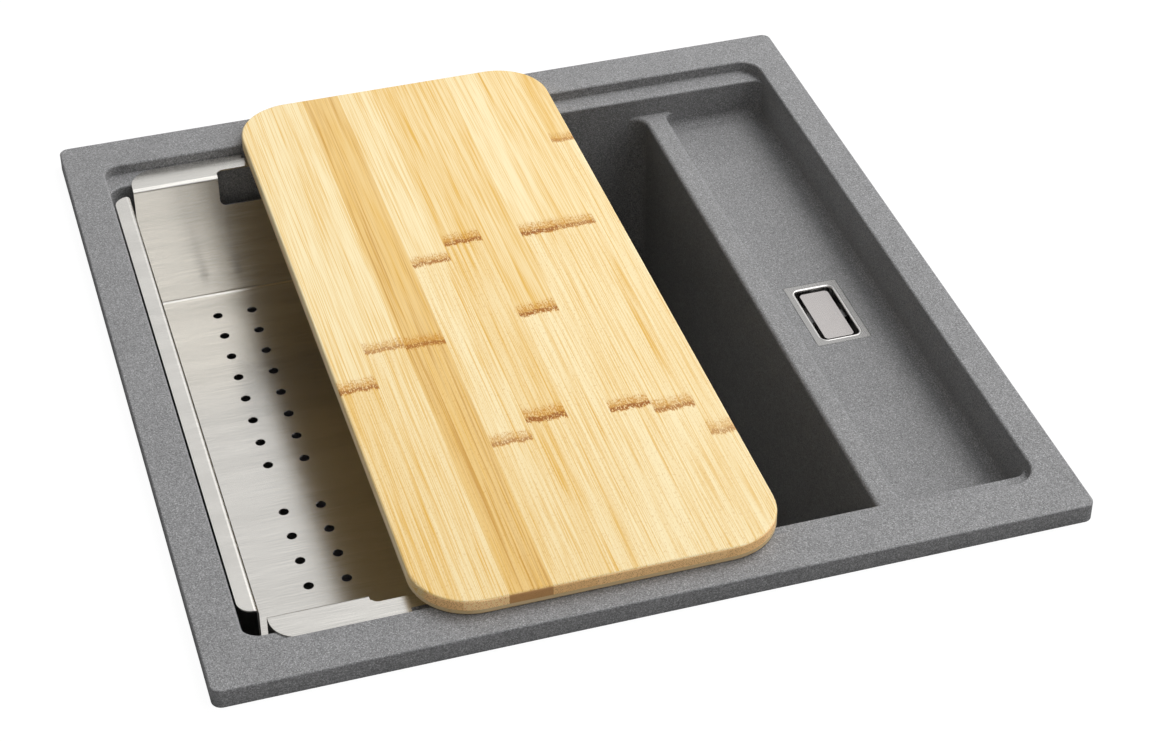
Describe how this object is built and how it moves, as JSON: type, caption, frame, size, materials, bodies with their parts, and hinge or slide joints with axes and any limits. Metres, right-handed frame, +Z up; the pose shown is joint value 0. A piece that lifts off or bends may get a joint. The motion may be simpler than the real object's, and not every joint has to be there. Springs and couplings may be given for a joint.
{
  "type": "workstation kitchen sink",
  "caption": "Square inset sink in grey composite with a deep bowl, a lowered tray with a rectangular overflow, side ledges, a folded steel colander and a sliding bamboo board.",
  "frame": {"origin": "centre of the sink in plan, on the rim's underside, which is the worktop's top face", "axes": "+X from the bowl towards the tray and the wall behind the sink, +Y along the divider, +Z up"},
  "size_m": [0.51, 0.54, 0.312],
  "materials": {
    "granite": "matt speckled composite",
    "steel": "satin",
    "colander_steel": "brushed lengthwise",
    "zinc": "zinc plated",
    "rubber": "matt",
    "white_plastic": "moulded",
    "dark_plastic": "moulded",
    "board_face": "oiled bamboo",
    "board_base": "oiled bamboo"
  },
  "bodies": {
    "sink": {"sink_body": "granite", "rim_seal": "rubber", "clamp_inserts": "white_plastic", "clamp_screws": "zinc", "waste_flange": "steel", "waste_top_gasket": "rubber", "waste_low_gasket": "rubber", "waste_body": "white_plastic", "waste_screw": "zinc", "overflow_frame": "steel", "overflow_frame_gasket": "rubber", "overflow_housing": "white_plastic", "overflow_housing_gasket": "rubber", "overflow_screws": "zinc", "overflow_pipe": "white_plastic", "pipe_nut_upper": "dark_plastic", "pipe_nut_lower": "dark_plastic", "pipe_washer_upper": "rubber", "pipe_washer_lower": "rubber"},
    "board": {"board_face": "board_face", "board_base": "board_base"},
    "colander": {"colander": "colander_steel"},
    "basket": {"basket_cup": "steel", "basket_plug": "rubber", "basket_knob": "steel"},
    "cover": {"overflow_cover": "steel", "overflow_clip": "steel"},
    "claw_1": {"clamp_claw_1": "zinc"},
    "claw_2": {"clamp_claw_2": "zinc"},
    "claw_3": {"clamp_claw_3": "zinc"},
    "claw_4": {"clamp_claw_4": "zinc"},
    "claw_5": {"clamp_claw_5": "zinc"},
    "claw_6": {"clamp_claw_6": "zinc"}
  },
  "joints": [
    {"name": "board_slide", "type": "slide", "parent": "sink", "child": "board", "axis": [1, 0, 0], "range_m": [-0.119, 0.177]},
    {"name": "colander_slide", "type": "slide", "parent": "sink", "child": "colander", "axis": [1, 0, 0], "range_m": [0, 0.126]},
    {"name": "basket_lift", "type": "slide", "parent": "sink", "child": "basket", "axis": [0, 0, 1], "range_m": [0, 0.06]},
    {"name": "cover_lift", "type": "slide", "parent": "sink", "child": "cover", "axis": [0, 0, 1], "range_m": [0, 0.02]},
    {"name": "claw_turn_1", "type": "hinge", "parent": "sink", "child": "claw_1", "pos_m": [-0.17, -0.247, -0.0448], "axis": [0, 0, 1], "range_deg": [0, 90]},
    {"name": "claw_turn_2", "type": "hinge", "parent": "sink", "child": "claw_2", "pos_m": [0, -0.247, -0.0448], "axis": [0, 0, 1], "range_deg": [0, 90]},
    {"name": "claw_turn_3", "type": "hinge", "parent": "sink", "child": "claw_3", "pos_m": [0.17, -0.247, -0.0448], "axis": [0, 0, 1], "range_deg": [0, 90]},
    {"name": "claw_turn_4", "type": "hinge", "parent": "sink", "child": "claw_4", "pos_m": [-0.17, 0.247, -0.0448], "axis": [0, 0, 1], "range_deg": [0, 90]},
    {"name": "claw_turn_5", "type": "hinge", "parent": "sink", "child": "claw_5", "pos_m": [0, 0.247, -0.0448], "axis": [0, 0, 1], "range_deg": [0, 90]},
    {"name": "claw_turn_6", "type": "hinge", "parent": "sink", "child": "claw_6", "pos_m": [0.17, 0.247, -0.0448], "axis": [0, 0, 1], "range_deg": [0, 90]}
  ]
}
